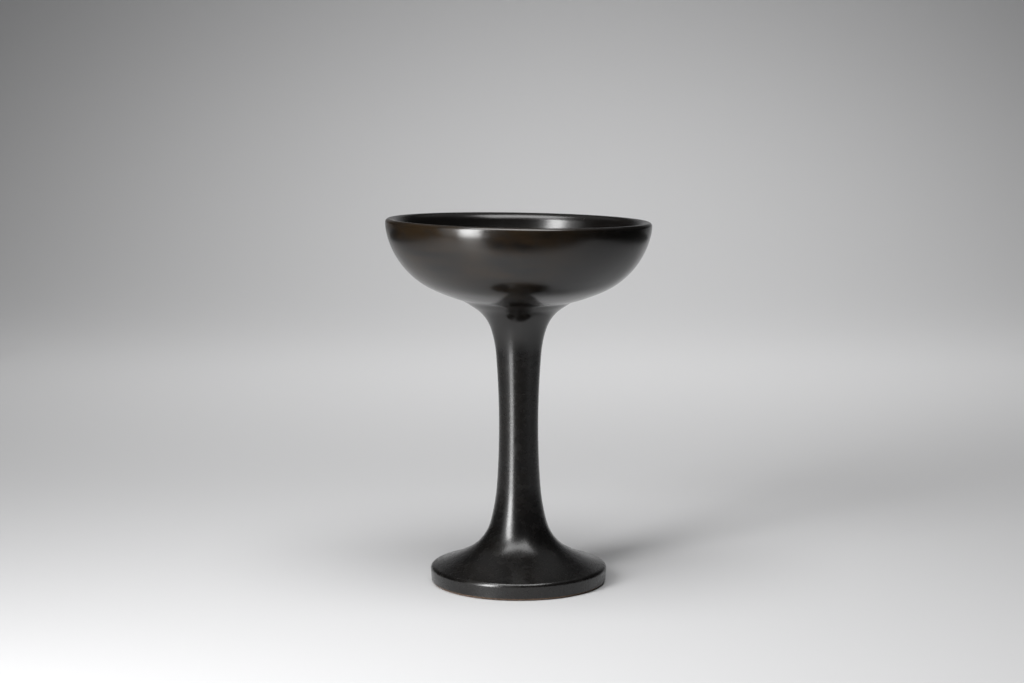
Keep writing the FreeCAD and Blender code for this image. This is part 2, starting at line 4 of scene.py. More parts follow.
import bmesh
import bpy
from bpy.props import (
    BoolProperty, FloatProperty, FloatVectorProperty, IntProperty, PointerProperty,
)
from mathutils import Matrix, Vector

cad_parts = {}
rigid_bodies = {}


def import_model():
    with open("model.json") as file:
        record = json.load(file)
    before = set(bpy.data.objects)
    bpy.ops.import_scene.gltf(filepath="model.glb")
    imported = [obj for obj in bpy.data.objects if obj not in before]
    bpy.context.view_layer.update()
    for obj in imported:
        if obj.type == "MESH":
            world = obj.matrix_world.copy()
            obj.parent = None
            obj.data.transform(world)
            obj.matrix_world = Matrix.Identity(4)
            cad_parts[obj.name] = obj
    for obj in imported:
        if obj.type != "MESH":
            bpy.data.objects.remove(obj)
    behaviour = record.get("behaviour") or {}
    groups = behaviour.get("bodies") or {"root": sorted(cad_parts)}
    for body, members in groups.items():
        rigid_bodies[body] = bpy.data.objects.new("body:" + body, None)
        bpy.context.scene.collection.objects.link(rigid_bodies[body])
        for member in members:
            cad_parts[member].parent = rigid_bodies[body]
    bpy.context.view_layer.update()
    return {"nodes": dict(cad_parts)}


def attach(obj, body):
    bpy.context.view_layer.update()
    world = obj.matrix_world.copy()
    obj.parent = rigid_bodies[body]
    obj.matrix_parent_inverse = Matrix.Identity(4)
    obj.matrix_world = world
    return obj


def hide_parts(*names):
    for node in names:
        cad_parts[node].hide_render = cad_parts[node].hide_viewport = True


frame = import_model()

# The looks of a stemmed ceramic cup: satin near-black glaze with warm brown breaks outside and
# inside, a glazed hollow under the foot, and bare stoneware on the standing ring.
# Lengths are metres. The outline repeats the sizes of the CAD solids, so each skin lies where its
# node lies.

bl_info = {
    "name": "Stemmed Cup Finish",
    "version": (1, 0, 0),
    "blender": (4, 5, 0),
    "location": "View3D > Sidebar > Cup",
    "description": "Glaze skins, bare clay and studio for a stemmed ceramic cup",
    "category": "Object",
}

MM = 0.001
BODY = "root"

# Whole cup
CUP_HEIGHT = 170.0 * MM
GLAZE = 0.4 * MM
SLIP = 0.5 * MM
BOWL_LEAN = math.radians(0.95)

# Bowl
RIM_RADIUS = 61.27 * MM
LIP_OUTER_ROUND = 1.35 * MM
SHOULDER_ROUND = 18.9 * MM
SHOULDER_ANGLE = math.radians(11.7)
SIDE_ROUND = 37.26 * MM
BOWL_ANGLE = math.radians(65.4)
BOWL_WALL = 5.0 * MM
BOWL_FLOOR = 6.5 * MM

# Coil and stem
COIL_HEIGHT = 9.9 * MM
COIL_ROUND = 19.2 * MM
COIL_ANGLE = math.radians(57.0)
WAIST_RADIUS = 8.85 * MM
WAIST_HEIGHT = 74.0 * MM
THROAT_ANGLE = math.radians(4.7)
NECK_ROUND = 48.85 * MM
NECK_ANGLE = math.radians(18.4)
SHIN_ANGLE = math.radians(4.0)
ANKLE_ANGLE = math.radians(15.0)
ANKLE_SHARE = 4.13

# Foot
FOOT_RADIUS = 41.03 * MM
FOOT_EDGE_HEIGHT = 6.2 * MM
FOOT_EDGE_ROUND = 1.6 * MM
INSTEP_ANGLE = math.radians(61.0)
DISH_ANGLE = math.radians(12.8)
DISH_SHARE = 3.57
SIDE_TAPER = math.radians(5.3)
FOOT_WALL = 5.8 * MM
RING_WIDTH = 7.53 * MM
GLAZE_LINE_HEIGHT = 1.1 * MM

# How finely outlines are drawn, and how far a skin's back stays off the clay
FINE_TURN = math.radians(2.0)
FINE_STEP = 1.0 * MM
COARSE_TURN = math.radians(7.0)
COARSE_STEP = 6.0 * MM
WELL_STEPS_ROUND = 180
CLEAR_OF_CLAY = 0.05 * MM
CLOSE_GAP = 0.0002 * MM
SHARP_EDGE = math.radians(50.0)

# Hand-made relief: how far from other pieces it fades out, and how the throwing rings wander
RELIEF_FADE = 4.0 * MM
RING_DRIFT = 1.2
DRIFT_GRAIN = 18.0

# Glaze pattern. A grain is the number of lumps to the metre, a squash makes them flatter, and a
# range is the stretch of noise over which a pattern comes in
CLOUD_GRAIN = 24.0
CLOUD_SQUASH = 1.9
CLOUD_SHARE = 0.68
STREAK_GRAIN = 34.0
STREAK_SQUASH = 9.0
BLOOM_RANGE = (0.38, 0.60)
BROWN_SIDE_RANGE = (-0.15, 0.62)
MOTTLE_GRAIN = 240.0
MOTTLE_RANGE = (0.44, 0.74)
SPECKLE_GRAIN = 1500.0
SPECKLE_RANGE = (0.60, 0.78)
SPECKLE_SHARE = 0.10
SHEEN_GRAIN = 420.0
BROWN_DULLER = 0.03
RIPPLE_GRAIN = 260.0
RIPPLE_SHARE = 0.75
PINHEAD_GRAIN = 2600.0
GLAZE_BUMP_DEPTH = 0.03 * MM

# Between which heights the glaze turns from stem to pool, from pool to bowl, and brown
POOL_START = (112.0 * MM, 123.0 * MM)
POOL_END = (137.0 * MM, 155.0 * MM)
BROWN_START = (125.0 * MM, 150.0 * MM)

# Bare clay
GROG_GRAIN = 1400.0
GROG_SHARE = 0.55
TOAST_GRAIN = 60.0
TONE_RANGE = (0.35, 0.65)
SPECK_GRAIN = 2400.0
SPECK_RANGE = (0.70, 0.80)
LINE_GRAIN = 1600.0
CLAY_BUMP = 0.5
CLAY_BUMP_DEPTH = 0.06 * MM
CLAY_ROUGHNESS = 0.82
SLIP_ROUGHNESS = 0.9

# Where the dark sheets on the table end in front of the cup, beside it and away from it. The sheets
# are painted dark reflections that stand in for the dark room past the table
CARD_EDGE = -0.205
CARD_FADE = 0.055
CARD_SIDE = 0.45
CARD_BACK = 0.9
CARD_REACH = 1.6
CARD_LIFT = 1.0 * MM

# Width of the camera's sensor, in the millimetres that Blender counts it in
SENSOR_WIDTH = 36.0

QUARTER = math.radians(90.0)
LEFT, RIGHT = 1, -1


class Outline:
    """A run of straight and round stretches in the plane of radius and height.

    Each point also carries its share of the bowl's lean.
    """

    def __init__(self, radius, height, heading, lean=0.0, fine=True):
        self.place = Vector((radius, height))
        self.heading = heading
        self.lean = lean
        self.turn_step = FINE_TURN if fine else COARSE_TURN
        self.step = FINE_STEP if fine else COARSE_STEP
        self.points = [(self.place.copy(), lean)]

    def way(self, off=0.0):
        """Unit vector along the heading, or turned off it by an angle."""
        return Vector((math.cos(self.heading + off), math.sin(self.heading + off)))

    def line(self, length):
        """Straight stretch."""
        parts = max(1, math.ceil(length / self.step))
        start = self.place.copy()
        for part in range(1, parts + 1):
            self.points.append((start + self.way() * (length * part / parts), self.lean))
        self.place = self.points[-1][0].copy()

    def arc(self, radius, angle, turn, lean=None):
        """Round stretch. The lean may change smoothly along it."""
        parts = max(2, math.ceil(max(angle / self.turn_step, radius * angle / self.step)))
        centre = self.place + self.way(turn * QUARTER) * radius
        begin = self.heading - turn * QUARTER
        first_lean = self.lean
        last_lean = first_lean if lean is None else lean
        for part in range(1, parts + 1):
            share = part / parts
            spoke = begin + turn * angle * share
            ease = share * share * (3 - 2 * share)
            point = centre + Vector((math.cos(spoke), math.sin(spoke))) * radius
            self.points.append((point, first_lean + (last_lean - first_lean) * ease))
        self.place = self.points[-1][0].copy()
        self.heading += turn * angle
        self.lean = last_lean


def bowl_form(coat):
    """Centres and rounds of the bowl's outside under a coat of some thickness."""
    widest = CUP_HEIGHT - GLAZE - LIP_OUTER_ROUND
    less = SIDE_ROUND - SHOULDER_ROUND
    centre_radius = RIM_RADIUS - SHOULDER_ROUND - less * math.cos(SHOULDER_ANGLE)
    centre_height = widest + less * math.sin(SHOULDER_ANGLE)
    cap_round = SIDE_ROUND + centre_radius / math.cos(BOWL_ANGLE)
    cap_height = centre_height + centre_radius * math.tan(BOWL_ANGLE)
    return widest, Vector((centre_radius, centre_height)), cap_round + coat, cap_height


def pedestal_form():
    """Rounds of the stem and foot that close the outline from the waist to the foot's edge."""
    brim_angle = INSTEP_ANGLE + DISH_ANGLE
    brim_radius = FOOT_RADIUS - FOOT_EDGE_ROUND * (1 - math.cos(brim_angle))
    brim_height = FOOT_EDGE_HEIGHT + FOOT_EDGE_ROUND * math.sin(brim_angle)
    foot_width = (math.cos(ANKLE_ANGLE) - math.cos(INSTEP_ANGLE)
                  + DISH_SHARE * (math.cos(INSTEP_ANGLE) - math.cos(brim_angle)))
    foot_height = (math.sin(INSTEP_ANGLE) - math.sin(ANKLE_ANGLE)
                   + DISH_SHARE * (math.sin(brim_angle) - math.sin(INSTEP_ANGLE)))
    flare_width = foot_width + ANKLE_SHARE * (math.cos(SHIN_ANGLE) - math.cos(ANKLE_ANGLE))
    flare_height = foot_height + ANKLE_SHARE * (math.sin(ANKLE_ANGLE) - math.sin(SHIN_ANGLE))
    slope = math.tan(SHIN_ANGLE / 2)
    drop = WAIST_HEIGHT - brim_height - SLIP
    instep = ((brim_radius - WAIST_RADIUS - SLIP * math.tan(ANKLE_ANGLE) - slope * drop)
              / (flare_width - slope * flare_height))
    shin = (drop - instep * flare_height) / math.sin(SHIN_ANGLE)
    foot_top = Vector((brim_radius - instep * foot_width, brim_height + instep * foot_height))
    return instep, shin, foot_top


def coil_end(coat):
    """Where the coil's round ends and its straight flank runs on up to the bowl."""
    cap_round, cap_height = bowl_form(0.0)[2:]
    start_height = cap_height - cap_round - COIL_HEIGHT
    neck_start = start_height - NECK_ROUND * (math.sin(NECK_ANGLE) - math.sin(THROAT_ANGLE))
    throat = (neck_start - WAIST_HEIGHT) / math.sin(THROAT_ANGLE)
    start_radius = (WAIST_RADIUS + throat * (1 - math.cos(THROAT_ANGLE))
                    + NECK_ROUND * (math.cos(THROAT_ANGLE) - math.cos(NECK_ANGLE)))
    end = Vector((start_radius + COIL_ROUND * (math.cos(NECK_ANGLE) - math.cos(COIL_ANGLE)),
                  start_height + COIL_ROUND * (math.sin(COIL_ANGLE) - math.sin(NECK_ANGLE))))
    outward = Vector((math.cos(COIL_ANGLE), -math.sin(COIL_ANGLE)))
    return end + outward * coat, throat


def outer_outline(coat, corner_round, fine):
    """Outside of the cup from the crest of the lip down to the glaze's lower edge."""
    widest, _, cap_round, cap_height = bowl_form(coat)
    flank, throat = coil_end(coat)
    instep, shin, _ = pedestal_form()

    # The rounded corner under the bowl: tangent to the coil's flank and to the bowl's base cap
    up = Vector((math.sin(COIL_ANGLE), math.cos(COIL_ANGLE)))
    outward = Vector((math.cos(COIL_ANGLE), -math.sin(COIL_ANGLE)))
    cap_centre = Vector((0.0, cap_height))
    base = flank + outward * corner_round - cap_centre
    reach = cap_round + corner_round
    along = -base.dot(up) - math.sqrt(base.dot(up) ** 2 - base.dot(base) + reach ** 2)
    corner_centre = base + up * along
    cap_lean = math.atan2(-corner_centre.y, corner_centre.x)

    run = Outline(RIM_RADIUS - LIP_OUTER_ROUND, widest + LIP_OUTER_ROUND + coat, 0.0, 1.0, fine)
    run.arc(LIP_OUTER_ROUND + coat, QUARTER, RIGHT)
    run.arc(SHOULDER_ROUND + coat, SHOULDER_ANGLE, RIGHT)
    run.arc(SIDE_ROUND + coat, BOWL_ANGLE - SHOULDER_ANGLE, RIGHT)
    run.arc(cap_round, cap_lean - BOWL_ANGLE, RIGHT)
    run.arc(corner_round, cap_lean - COIL_ANGLE, LEFT, lean=0.0)
    run.line(along)
    run.arc(COIL_ROUND - coat, COIL_ANGLE - NECK_ANGLE, LEFT)
    run.arc(NECK_ROUND - coat, NECK_ANGLE - THROAT_ANGLE, LEFT)
    run.arc(throat - coat, THROAT_ANGLE, LEFT)
    run.arc(shin - coat, SHIN_ANGLE, LEFT)
    run.arc(instep * ANKLE_SHARE - coat, ANKLE_ANGLE - SHIN_ANGLE, LEFT)
    run.line(SLIP / math.cos(ANKLE_ANGLE))
    run.arc(instep - coat, INSTEP_ANGLE - ANKLE_ANGLE, LEFT)
    run.arc(instep * DISH_SHARE - coat, DISH_ANGLE, LEFT)
    run.arc(FOOT_EDGE_ROUND + coat, INSTEP_ANGLE + DISH_ANGLE + SIDE_TAPER, RIGHT)
    run.line((run.place.y - GLAZE_LINE_HEIGHT) / math.cos(SIDE_TAPER))
    return run.points


def inner_outline(coat, fine):
    """Inside of the bowl from the crest of the lip down to the axis."""
    widest, side_centre, cap_round, cap_height = bowl_form(0.0)
    shoulder = SHOULDER_ROUND - BOWL_WALL
    side = SIDE_ROUND - BOWL_WALL
    lip = (((SHOULDER_ROUND - LIP_OUTER_ROUND) ** 2 + LIP_OUTER_ROUND ** 2 - shoulder ** 2)
           / (2 * (shoulder + LIP_OUTER_ROUND)))
    lip_drop = math.asin((lip - LIP_OUTER_ROUND) / (shoulder + lip))
    floor_drop = cap_height - cap_round + BOWL_FLOOR - side_centre.y
    floor_round = ((side ** 2 - side_centre.x ** 2 - floor_drop ** 2)
                   / (2 * (floor_drop + side)))
    floor_angle = QUARTER - math.atan(side_centre.x / (floor_drop + floor_round))
    run = Outline(RIM_RADIUS - LIP_OUTER_ROUND, widest + LIP_OUTER_ROUND + coat,
                  2 * QUARTER, 1.0, fine)
    run.arc(lip + coat, QUARTER - lip_drop, LEFT)
    run.arc(shoulder - coat, SHOULDER_ANGLE - lip_drop, RIGHT)
    run.arc(side - coat, floor_angle - SHOULDER_ANGLE, RIGHT)
    run.arc(floor_round - coat, QUARTER - floor_angle, RIGHT)
    run.points[-1][0].x = 0.0
    return run.points


def well_outline(coat, fine):
    """Underside of the foot from the mouth of the stem's bore out to the standing ring."""
    instep, _, foot_top = pedestal_form()
    reach = FOOT_WALL + coat
    start = foot_top - Vector((math.cos(ANKLE_ANGLE), math.sin(ANKLE_ANGLE))) * reach
    run = Outline(start.x, start.y, ANKLE_ANGLE - QUARTER, 0.0, fine)
    run.arc(instep + reach, INSTEP_ANGLE - ANKLE_ANGLE, LEFT)
    dish = instep * DISH_SHARE + reach
    centre_radius = run.place.x + dish * math.cos(INSTEP_ANGLE)
    end_angle = math.acos((centre_radius - (FOOT_RADIUS - RING_WIDTH)) / dish)
    run.arc(dish, end_angle - INSTEP_ANGLE, LEFT)
    return run.points


class Tree:
    """Adds nodes to a tree. An input given as a socket is linked, and any other is set."""

    def __init__(self, tree):
        self.tree = tree

    def add(self, kind, inputs=None, **settings):
        """One node with its settings and inputs."""
        node = self.tree.nodes.new(kind)
        for name, value in settings.items():
            setattr(node, name, value)
        for name, value in (inputs or {}).items():
            if isinstance(value, bpy.types.NodeSocket):
                self.tree.links.new(value, node.inputs[name])
            else:
                node.inputs[name].default_value = value
        return node

    def math(self, operation, *values):
        """A number worked out from up to three others."""
        return self.add("ShaderNodeMath", dict(enumerate(values)), operation=operation).outputs[0]

    def vector(self, operation, *values, out="Vector"):
        """A vector worked out from up to three others."""
        node = self.add("ShaderNodeVectorMath", dict(enumerate(values)), operation=operation)
        return node.outputs[out]

    def scaled(self, vector, share):
        """A vector made longer or shorter by a number."""
        node = self.add("ShaderNodeVectorMath", {"Vector": vector, "Scale": share},
                        operation="SCALE")
        return node.outputs["Vector"]

    def split(self, vector):
        """A vector's three parts, by the names X, Y and Z."""
        return self.add("ShaderNodeSeparateXYZ", {"Vector": vector}).outputs

    def noise(self, where, grain, detail=2.0, roughness=0.5, warp=0.0):
        """Soft noise from 0 to 1, at a number of lumps to the metre."""
        node = self.add("ShaderNodeTexNoise", {
            "Vector": where, "Scale": grain, "Detail": detail, "Roughness": roughness,
            "Distortion": warp,
        })
        return node.outputs[0]

    def mixed(self, first, second, first_share):
        """A sum of two numbers by their shares."""
        return self.math("ADD", self.math("MULTIPLY", first, first_share),
                         self.math("MULTIPLY", second, 1.0 - first_share))

    def spread(self, value, low, high, to_low=0.0, to_high=1.0):
        """A value's range mapped smoothly to another."""
        node = self.add("ShaderNodeMapRange", {
            "Value": value, "From Min": low, "From Max": high,
            "To Min": to_low, "To Max": to_high,
        }, interpolation_type="SMOOTHSTEP")
        return node.outputs[0]

    def blend(self, share, first, second):
        """A colour between two others."""
        node = self.add("ShaderNodeMix", {"Factor": share, "A": first, "B": second},
                        data_type="RGBA")
        return node.outputs["Result"]


def new_tree_input(tree, name, kind, value=None):
    """A named input of a node group."""
    socket = tree.interface.new_socket(name=name, in_out="INPUT", socket_type=kind)
    if value is not None:
        socket.default_value = value
    return socket.identifier


class TurnedForm:
    """Geometry Nodes group that turns an outline round the upright axis, as a lathe does.

    The outline is a string of points whose x is the radius. It leans with the bowl by each point's
    share, and fine rings and a slow waver are pressed into it by each point's share of relief.
    """

    def __init__(self):
        tree = bpy.data.node_groups.new("Turned Form", "GeometryNodeTree")
        tree.is_modifier = True
        self.group = tree
        self.ids = {"Outline": new_tree_input(tree, "Outline", "NodeSocketGeometry")}
        for name, kind, value in (
                ("Steps Round", "NodeSocketInt", 240),
                ("Lean", "NodeSocketFloat", BOWL_LEAN),
                ("Rim Height", "NodeSocketFloat", CUP_HEIGHT),
                ("Ring Depth", "NodeSocketFloat", 0.0),
                ("Ring Spacing", "NodeSocketFloat", 2.0 * MM),
                ("Waver Depth", "NodeSocketFloat", 0.0),
                ("Waver Size", "NodeSocketFloat", 40.0 * MM),
                ("Seed", "NodeSocketFloat", 3.0),
                ("Material", "NodeSocketMaterial", None)):
            self.ids[name] = new_tree_input(tree, name, kind, value)
        tree.interface.new_socket(name="Form", in_out="OUTPUT", socket_type="NodeSocketGeometry")
        self.build(Tree(tree))

    def build(self, tree):
        """Fills the group with its nodes."""
        given = tree.add("NodeGroupInput").outputs
        outline = given["Outline"]
        rows = tree.add("GeometryNodeAttributeDomainSize", {"Geometry": outline}).outputs[0]
        columns = tree.math("ADD", given["Steps Round"], 1.0)
        grid = tree.add("GeometryNodeMeshGrid", {"Vertices X": rows, "Vertices Y": columns})
        index = tree.add("GeometryNodeInputIndex").outputs[0]
        row = tree.math("FLOOR", tree.math("DIVIDE", index, columns))
        column = tree.math("SUBTRACT", index, tree.math("MULTIPLY", row, columns))
        turn = tree.math("DIVIDE", tree.math("MULTIPLY", column, math.tau), given["Steps Round"])

        def sampled(name, kind):
            """An attribute of the outline, read at the row's point."""
            if name == "position":
                value = tree.add("GeometryNodeInputPosition").outputs[0]
            else:
                value = tree.add("GeometryNodeInputNamedAttribute", {"Name": name},
                                 data_type=kind).outputs[0]
            node = tree.add("GeometryNodeSampleIndex",
                            {"Geometry": outline, "Value": value, "Index": row}, data_type=kind)
            return node.outputs[0]

        round_place = tree.add("ShaderNodeVectorRotate", {
            "Vector": sampled("position", "FLOAT_VECTOR"), "Angle": turn,
        }, rotation_type="Z_AXIS").outputs[0]
        pivot = tree.add("ShaderNodeCombineXYZ", {"Z": given["Rim Height"]}).outputs[0]
        leaned = tree.add("ShaderNodeVectorRotate", {
            "Vector": round_place, "Center": pivot,
            "Angle": tree.math("MULTIPLY", given["Lean"], sampled("lean_share", "FLOAT")),
        }, rotation_type="Y_AXIS").outputs[0]
        shaped = tree.add("GeometryNodeSetPosition",
                          {"Geometry": grid.outputs["Mesh"], "Position": leaned}).outputs[0]
        for name in ("run", "relief_share"):
            shaped = tree.add("GeometryNodeStoreNamedAttribute", {
                "Geometry": shaped, "Name": name, "Value": sampled(name, "FLOAT"),
            }, data_type="FLOAT", domain="POINT").outputs[0]
        closed = tree.add("GeometryNodeMergeByDistance",
                          {"Geometry": shaped, "Distance": CLOSE_GAP}).outputs[0]

        def kept(name):
            """An attribute stored on the turned form."""
            return tree.add("GeometryNodeInputNamedAttribute", {"Name": name},
                            data_type="FLOAT").outputs[0]

        place = tree.add("GeometryNodeInputPosition").outputs[0]
        drift = tree.math("MULTIPLY", tree.noise(place, DRIFT_GRAIN, 1.0), RING_DRIFT)
        beat = tree.math("ADD", tree.math("DIVIDE", kept("run"), given["Ring Spacing"]),
                         tree.math("ADD", drift, given["Seed"]))
        rings = tree.add("ShaderNodeTexNoise", {"W": beat, "Scale": 1.0, "Detail": 1.0},
                         noise_dimensions="1D").outputs[0]
        size = given["Waver Size"]
        sizes = tree.add("ShaderNodeCombineXYZ", {"X": size, "Y": size, "Z": size}).outputs[0]
        shifted = tree.vector("ADD", tree.vector("DIVIDE", place, sizes), given["Seed"])
        waver = tree.noise(shifted, 1.0, 1.0)
        press = tree.math("ADD",
                          tree.math("MULTIPLY", tree.math("SUBTRACT", rings, 1.0),
                                    given["Ring Depth"]),
                          tree.math("MULTIPLY", tree.math("SUBTRACT", waver, 1.0),
                                    given["Waver Depth"]))
        press = tree.math("MULTIPLY", press, kept("relief_share"))
        offset = tree.scaled(tree.add("GeometryNodeInputNormal").outputs[0], press)
        relief = tree.add("GeometryNodeSetPosition",
                          {"Geometry": closed, "Offset": offset}).outputs[0]
        smooth = tree.add("GeometryNodeSetShadeSmooth", {"Geometry": relief}).outputs[0]
        real = tree.add("GeometryNodeRealizeInstances", {"Geometry": smooth}).outputs[0]
        dressed = tree.add("GeometryNodeSetMaterial",
                           {"Geometry": real, "Material": given["Material"]}).outputs[0]
        tree.add("NodeGroupOutput", {"Form": dressed})


def skin_points(front, back, closed):
    """One string of points that goes down a skin's front and comes back up its rear.

    The relief fades out over the first and last stretch of the front, where it meets other pieces.
    """
    run = 0.0
    runs = [0.0]
    for before, after in zip(front, front[1:]):
        run += (after[0] - before[0]).length
        runs.append(run)
    rows = []
    for (place, lean), at in zip(front, runs):
        near_end = min(at, run - at) if closed else at
        rows.append((place, lean, at, min(1.0, near_end / RELIEF_FADE)))
    rows += [(place, lean, run, 0.0) for place, lean in reversed(back)]
    if closed:
        rows.append(rows[0])
    return rows


def turned_piece(name, rows, form_sizes, material, ring_depth, steps=None):
    """A plain mesh object turned from a string of outline points."""
    mesh = bpy.data.meshes.new(name)
    mesh.from_pydata([(place.x, 0.0, place.y) for place, lean, run, relief in rows],
                     [(i, i + 1) for i in range(len(rows) - 1)], [])
    for label, column in (("lean_share", 1), ("run", 2), ("relief_share", 3)):
        layer = mesh.attributes.new(label, "FLOAT", "POINT")
        layer.data.foreach_set("value", [row[column] for row in rows])
    piece = bpy.data.objects.new(name, mesh)
    bpy.context.scene.collection.objects.link(piece)

    form = turned_form()
    modifier = piece.modifiers.new("Turned", "NODES")
    modifier.node_group = form.group
    for label, value in (
            ("Steps Round", steps or form_sizes.steps_round),
            ("Lean", BOWL_LEAN),
            ("Rim Height", CUP_HEIGHT),
            ("Ring Depth", ring_depth),
            ("Ring Spacing", form_sizes.ring_spacing),
            ("Waver Depth", form_sizes.waver_depth),
            ("Waver Size", form_sizes.waver_size),
            ("Seed", form_sizes.seed),
            ("Material", material)):
        modifier[form.ids[label]] = value
    piece.update_tag()
    view_layer = bpy.context.view_layer
    view_layer.update()
    turned = bpy.data.meshes.new_from_object(
        piece.evaluated_get(bpy.context.evaluated_depsgraph_get()))
    piece.modifiers.remove(modifier)
    piece.data = turned
    turned.name = name
    bpy.data.meshes.remove(mesh)
    if not turned.polygons:
        raise RuntimeError("%s was turned into nothing" % name)
    face_outwards(turned)
    turned.set_sharp_from_angle(angle=SHARP_EDGE)
    return piece


_forms = []


def turned_form():
    """The lathe group, made once."""
    if not _forms:
        _forms.append(TurnedForm())
    return _forms[0]


def face_outwards(mesh):
    """Turns every face of a closed mesh outwards and checks that it is closed."""
    work = bmesh.new()
    work.from_mesh(mesh)
    bmesh.ops.recalc_face_normals(work, faces=work.faces)
    if work.calc_volume(signed=True) < 0:
        bmesh.ops.reverse_faces(work, faces=work.faces)
    open_edges = sum(1 for edge in work.edges if len(edge.link_faces) != 2)
    work.to_mesh(mesh)
    work.free()
    if open_edges:
        raise RuntimeError("%s has %d open edges" % (mesh.name, open_edges))


def new_material(name):
    """An empty node material, its tree and its shader."""
    material = bpy.data.materials.new(name)
    material.use_nodes = True
    material.node_tree.nodes.clear()
    tree = Tree(material.node_tree)
    shader = tree.add("ShaderNodeBsdfPrincipled")
    tree.add("ShaderNodeOutputMaterial", {"Surface": shader.outputs[0]})
    return material, tree, shader


def glaze_material(name, finish, brown_share, duller=0.0, mottled=0.42):
    """Satin near-black glaze that breaks to warm brown in soft patches."""
    material, tree, shader = new_material(name)
    place = tree.add("ShaderNodeTexCoord").outputs["Object"]
    height = tree.split(place)["Z"]

    # Brown breaks: broad clouds, streaked the way the cup turned on the wheel
    flattened = tree.vector("MULTIPLY", place, (1.0, 1.0, CLOUD_SQUASH))
    clouds = tree.noise(flattened, CLOUD_GRAIN, 3.0, 0.55, 0.6)
    drawn_out = tree.vector("MULTIPLY", place, (1.0, 1.0, STREAK_SQUASH))
    streaks = tree.noise(drawn_out, STREAK_GRAIN, 4.0, 0.6)
    bloom = tree.spread(tree.mixed(clouds, streaks, CLOUD_SHARE), *BLOOM_RANGE)
    on_bowl = tree.spread(height, *BROWN_START, finish.stem_brown, 1.0)
    # The brown breaks are strongest on one side, turned from the front round to the left, and fewer
    # on the side away from it
    flat = tree.vector("NORMALIZE", tree.vector("MULTIPLY", place, (1.0, 1.0, 0.0)))
    brown_side_way = (-math.sin(finish.brown_side_angle), -math.cos(finish.brown_side_angle), 0.0)
    facing = tree.vector("DOT_PRODUCT", flat, brown_side_way, out="Value")
    warm = tree.spread(facing, *BROWN_SIDE_RANGE, finish.far_side_brown, 1.0)
    share = tree.math("MULTIPLY", tree.math("MULTIPLY", bloom, warm),
                      tree.math("MULTIPLY", on_bowl, brown_share))
    colour = tree.blend(share, (*finish.black, 1.0), (*finish.brown, 1.0))

    # Small cloudy mottles where the coat lies thinner, and a fine speckle of iron
    mottle = tree.spread(tree.noise(place, MOTTLE_GRAIN, 1.2, 0.55), *MOTTLE_RANGE)
    colour = tree.blend(tree.math("MULTIPLY", mottle, mottled), colour, (*finish.thin, 1.0))
    speckle = tree.spread(tree.noise(place, SPECKLE_GRAIN), *SPECKLE_RANGE)
    colour = tree.blend(tree.math("MULTIPLY", speckle, SPECKLE_SHARE), colour,
                        (*finish.brown, 1.0))
    tree.tree.links.new(colour, shader.inputs["Base Color"])

    # Satin sheen: a little duller in the brown clouds and the mottles, with a fine unevenness
    uneven = tree.noise(place, SHEEN_GRAIN, 3.0, 0.6)
    dull = tree.math("ADD", tree.math("MULTIPLY", uneven, finish.sheen_spread),
                     tree.math("MULTIPLY", share, BROWN_DULLER))
    dull = tree.math("ADD", dull, tree.math("MULTIPLY", mottle, finish.sheen_spread * mottled))
    lower = tree.spread(height, *POOL_START, finish.stem_roughness, finish.pool_roughness)
    upper = tree.spread(height, *POOL_END, 0.0,
                        finish.roughness - finish.pool_roughness + duller)
    satin = tree.math("ADD", dull, tree.math("ADD", lower, upper))
    satin = tree.math("SUBTRACT", satin, finish.sheen_spread / 2)
    tree.tree.links.new(satin, shader.inputs["Roughness"])
    shader.inputs["IOR"].default_value = finish.glaze_ior

    # Hair-fine turning lines run round the cup and draw each highlight out up and down
    shader.inputs["Anisotropic"].default_value = finish.turning_lines
    shader.inputs["Anisotropic Rotation"].default_value = 0.25
    around = tree.add("ShaderNodeTangent", direction_type="RADIAL", axis="Z")
    tree.tree.links.new(around.outputs[0], shader.inputs["Tangent"])

    # Skin of the glaze: orange-peel ripples and pin-head grain
    ripples = tree.noise(place, RIPPLE_GRAIN, 1.0)
    pinheads = tree.noise(place, PINHEAD_GRAIN)
    bump = tree.add("ShaderNodeBump", {
        "Height": tree.mixed(ripples, pinheads, RIPPLE_SHARE), "Strength": finish.bump,
        "Distance": GLAZE_BUMP_DEPTH})
    tree.tree.links.new(bump.outputs[0], shader.inputs["Normal"])
    return material


